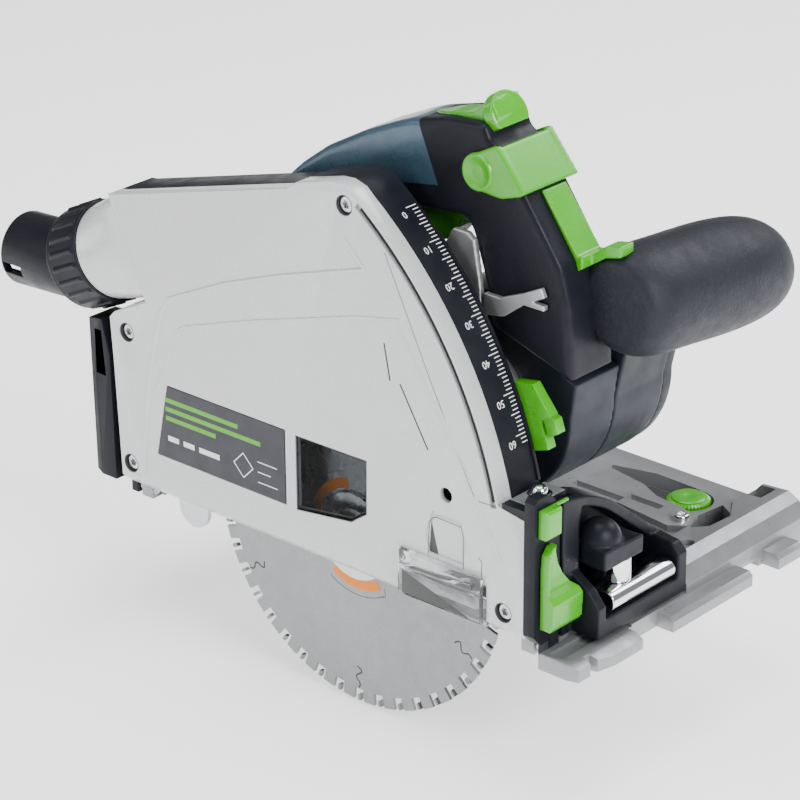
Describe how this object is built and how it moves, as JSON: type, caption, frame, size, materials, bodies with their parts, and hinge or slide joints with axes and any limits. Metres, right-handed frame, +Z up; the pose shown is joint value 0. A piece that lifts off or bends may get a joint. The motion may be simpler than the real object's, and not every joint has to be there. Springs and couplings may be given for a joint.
{
  "type": "track plunge saw",
  "caption": "Guide-rail plunge saw: tilting blade cover with dust outlet, pivoting motor unit with handle, depth stop and blade on a flat sole",
  "frame": {"origin": "on the underside of the sole, in the blade plane, under the arbor at full plunge", "axes": "+X is the cutting direction, +Y runs from the blade towards the motor, +Z is up"},
  "size_m": [0.3469, 0.1901, 0.2924],
  "materials": {
    "cast_light": "fine satin casting, light silver",
    "cover_paint": "satin light grey paint",
    "black_plastic": "fine textured near-black plastic",
    "slate_plastic": "fine textured dark slate plastic",
    "green_plastic": "smooth bright green plastic",
    "teal_plastic": "satin metallic teal plastic",
    "soft_grip": "pebbled soft grip",
    "clear_guard": "clear polycarbonate",
    "cast_gear": "bead-blasted die casting",
    "bright_steel": "polished plating",
    "machined_steel": "turned steel",
    "blade_steel": "ground steel disc with brazed tips",
    "black_screw": "blackened steel",
    "label_film": "printed film without text",
    "strip_plastic": "low-friction strip",
    "winding": "laminated core with windings"
  },
  "bodies": {
    "base": {"base_plate": "cast_light", "glide_strips": "strip_plastic", "cut_indicator": "cast_light", "front_bevel_bracket": "black_plastic", "rear_bevel_bracket": "black_plastic", "bevel_pins": "machined_steel", "base_screws": "bright_steel", "fence_clamp_bar": "bright_steel"},
    "fence_clamp": {"fence_clamp_screw": "bright_steel", "fence_clamp_knob": "black_plastic"},
    "cam_front": {"rail_cam_front": "green_plastic"},
    "cam_rear": {"rail_cam_rear": "green_plastic"},
    "rear_knob": {"rear_bevel_knob": "black_plastic"},
    "head": {"blade_cover": "cover_paint", "blade_housing": "black_plastic", "cover_screws": "machined_steel", "cover_label": "label_film", "view_pane": "clear_guard", "feeler_pin": "machined_steel", "dust_neck": "cover_paint", "tilt_plate": "black_plastic", "rear_guard": "black_plastic", "angle_pointer": "green_plastic", "plunge_shaft": "machined_steel", "return_spring": "machined_steel"},
    "guard": {"chip_guard": "clear_guard"},
    "feeler": {"kickback_feeler": "machined_steel"},
    "latch": {"tilt_latch": "green_plastic"},
    "stop": {"depth_stop": "green_plastic"},
    "outlet": {"dust_collar": "black_plastic", "dust_port": "black_plastic"},
    "motor_unit": {"gearbox_housing": "cast_gear", "gearbox_cover": "cast_gear", "stop_arm": "cast_gear", "gear_shroud": "slate_plastic", "motor_housing": "slate_plastic", "motor_end_cap": "slate_plastic", "stator": "winding", "electronics_housing": "slate_plastic", "controller": "black_plastic", "power_inlet": "black_plastic", "handle_left": "black_plastic", "handle_right": "black_plastic", "handle_rear_shell": "teal_plastic", "front_grip": "soft_grip", "grip_inlay": "green_plastic", "switch_body": "black_plastic", "bearings": "machined_steel"},
    "trigger_body": {"trigger": "green_plastic"},
    "lock_body": {"lock_button": "green_plastic"},
    "lever_body": {"blade_change_lever": "green_plastic"},
    "dial_body": {"speed_dial": "green_plastic"},
    "spindle": {"arbor": "machined_steel", "arbor_gear": "machined_steel", "saw_blade": "blade_steel", "outer_flange": "machined_steel", "arbor_bolt": "black_screw"},
    "idler": {"idler_gear": "machined_steel"},
    "rotor_body": {"rotor": "machined_steel", "cooling_fan": "black_plastic"}
  },
  "joints": [
    {"name": "bevel", "type": "hinge", "parent": "base", "child": "head", "pos_m": [0, 0, 0.004], "axis": [1, 0, 0], "range_deg": [0, 47]},
    {"name": "plunge", "type": "hinge", "parent": "head", "child": "motor_unit", "pos_m": [-0.108, 0, 0.023], "axis": [0, -1, 0], "range_deg": [0, 37]},
    {"name": "spindle_spin", "type": "hinge", "parent": "motor_unit", "child": "spindle", "pos_m": [0, 0, 0.022], "axis": [0, 1, 0], "continuous": true},
    {"name": "idler_spin", "type": "hinge", "parent": "motor_unit", "child": "idler", "pos_m": [0.02676, 0.031, 0.06275], "axis": [0, 1, 0], "continuous": true},
    {"name": "rotor_spin", "type": "hinge", "parent": "motor_unit", "child": "rotor_body", "pos_m": [0.048, 0.07, 0.0951], "axis": [0, 1, 0], "continuous": true},
    {"name": "trigger_press", "type": "hinge", "parent": "motor_unit", "child": "trigger_body", "pos_m": [0.033, 0.0385, 0.179], "axis": [0, 1, 0], "range_deg": [0, 9], "stiffness_Nm_per_rad": 3, "springref_deg": -2.86},
    {"name": "lock_press", "type": "hinge", "parent": "motor_unit", "child": "lock_body", "pos_m": [0.0195, 0.037, 0.2115], "axis": [0, 1, 0], "range_deg": [0, 3], "stiffness_Nm_per_rad": 3, "springref_deg": -2.86},
    {"name": "lever_open", "type": "hinge", "parent": "motor_unit", "child": "lever_body", "pos_m": [0.0515, 0.0385, 0.199], "axis": [0, -1, 0], "range_deg": [0, 20]},
    {"name": "speed_dial_turn", "type": "hinge", "parent": "motor_unit", "child": "dial_body", "pos_m": [0.078, 0.1, 0.122], "axis": [0, 1, 0], "range_deg": [-135, 135]},
    {"name": "depth_stop_slide", "type": "hinge", "parent": "head", "child": "stop", "pos_m": [-0.108, 0.017, 0.023], "axis": [0, -1, 0], "range_deg": [-2, 22]},
    {"name": "chip_guard_slide", "type": "slide", "parent": "head", "child": "guard", "axis": [0, 0, 1], "range_m": [0, 0.0065]},
    {"name": "feeler_swing", "type": "hinge", "parent": "head", "child": "feeler", "pos_m": [-0.096, -0.0026, 0.017], "axis": [0, 1, 0], "range_deg": [0, 20], "stiffness_Nm_per_rad": 0.05, "springref_deg": -11.46},
    {"name": "dust_outlet_swivel", "type": "hinge", "parent": "head", "child": "outlet", "pos_m": [-0.1486, 0, 0.1195], "axis": [-0.9063, 0, -0.4226], "continuous": true},
    {"name": "tilt_latch_press", "type": "hinge", "parent": "head", "child": "latch", "pos_m": [0.1132, -0.0108, 0.037], "axis": [0, 0, -1], "range_deg": [0, 18], "stiffness_Nm_per_rad": 0.2, "springref_deg": -5.73},
    {"name": "fence_clamp_turn", "type": "hinge", "parent": "base", "child": "fence_clamp", "pos_m": [0.118, 0.0345, 0.03], "axis": [0, 0, 1], "range_deg": [0, 60]},
    {"name": "cam_front_turn", "type": "hinge", "parent": "base", "child": "cam_front", "pos_m": [0.078, 0.14, 0.008], "axis": [0, 0, 1], "range_deg": [-90, 90]},
    {"name": "cam_rear_turn", "type": "hinge", "parent": "base", "child": "cam_rear", "pos_m": [-0.112, 0.14, 0.008], "axis": [0, 0, 1], "range_deg": [-90, 90]},
    {"name": "rear_knob_turn", "type": "hinge", "parent": "base", "child": "rear_knob", "pos_m": [-0.16, 0.01932, 0.05709], "axis": [1, 0, 0], "range_deg": [-180, 180]}
  ],
  "couplings": [
    {"joint": "idler_spin", "follows": "spindle_spin", "ratio": -0.56},
    {"joint": "rotor_spin", "follows": "spindle_spin", "ratio": 2.3333}
  ]
}
